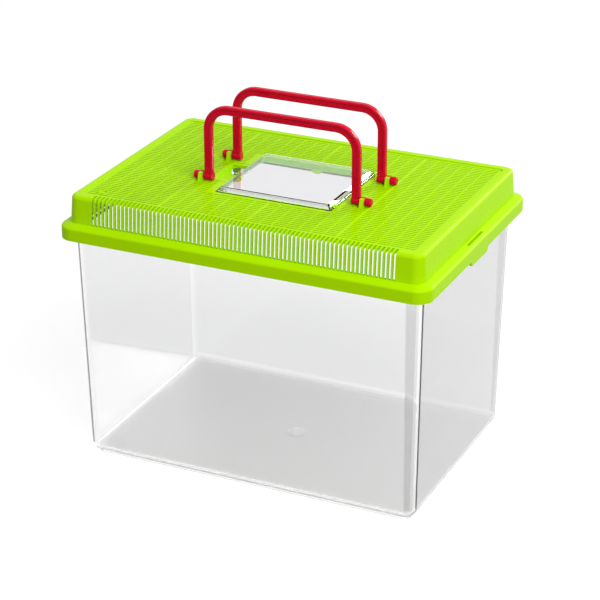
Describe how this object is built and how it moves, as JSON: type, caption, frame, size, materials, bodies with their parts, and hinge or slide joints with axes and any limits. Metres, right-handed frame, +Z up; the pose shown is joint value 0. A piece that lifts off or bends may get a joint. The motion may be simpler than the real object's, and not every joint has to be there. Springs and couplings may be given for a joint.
{
  "type": "plastic pet keeper",
  "caption": "Clear drafted tank with a slotted lift-off lid, a hinged clear feeding flap in the lid and folding bail handles that stand on top.",
  "frame": {"origin": "middle of the foot ring's underside, which is the middle of the box's bottom", "axes": "+Z up, +X along the long side towards the flap's hinge, -Y towards the front"},
  "size_m": [0.3, 0.21, 0.279],
  "materials": {
    "tank_clear": "clear, glossy polystyrene",
    "lid_green": "semi-gloss lime green",
    "flap_clear": "clear, glossy polystyrene",
    "handle_red": "glossy crimson red"
  },
  "bodies": {
    "tank": {"tank": "tank_clear"},
    "lid": {"lid": "lid_green"},
    "feeding_flap": {"feeding_flap": "flap_clear"},
    "front_handle": {"front_handle": "handle_red"},
    "rear_handle": {"rear_handle": "handle_red"}
  },
  "joints": [
    {"name": "lid_lift", "type": "slide", "parent": "tank", "child": "lid", "axis": [0, 0, 1], "range_m": [0, 0.2]},
    {"name": "flap_hinge", "type": "hinge", "parent": "lid", "child": "feeding_flap", "pos_m": [0.0493, -0.0015, 0.219], "axis": [0, 1, 0], "range_deg": [0, 27]},
    {"name": "front_handle_fold", "type": "hinge", "parent": "lid", "child": "front_handle", "pos_m": [0, -0.0242, 0.221], "axis": [1, 0, 0], "range_deg": [-20, 90]},
    {"name": "rear_handle_fold", "type": "hinge", "parent": "lid", "child": "rear_handle", "pos_m": [0, 0.0242, 0.221], "axis": [-1, 0, 0], "range_deg": [-20, 90]}
  ]
}
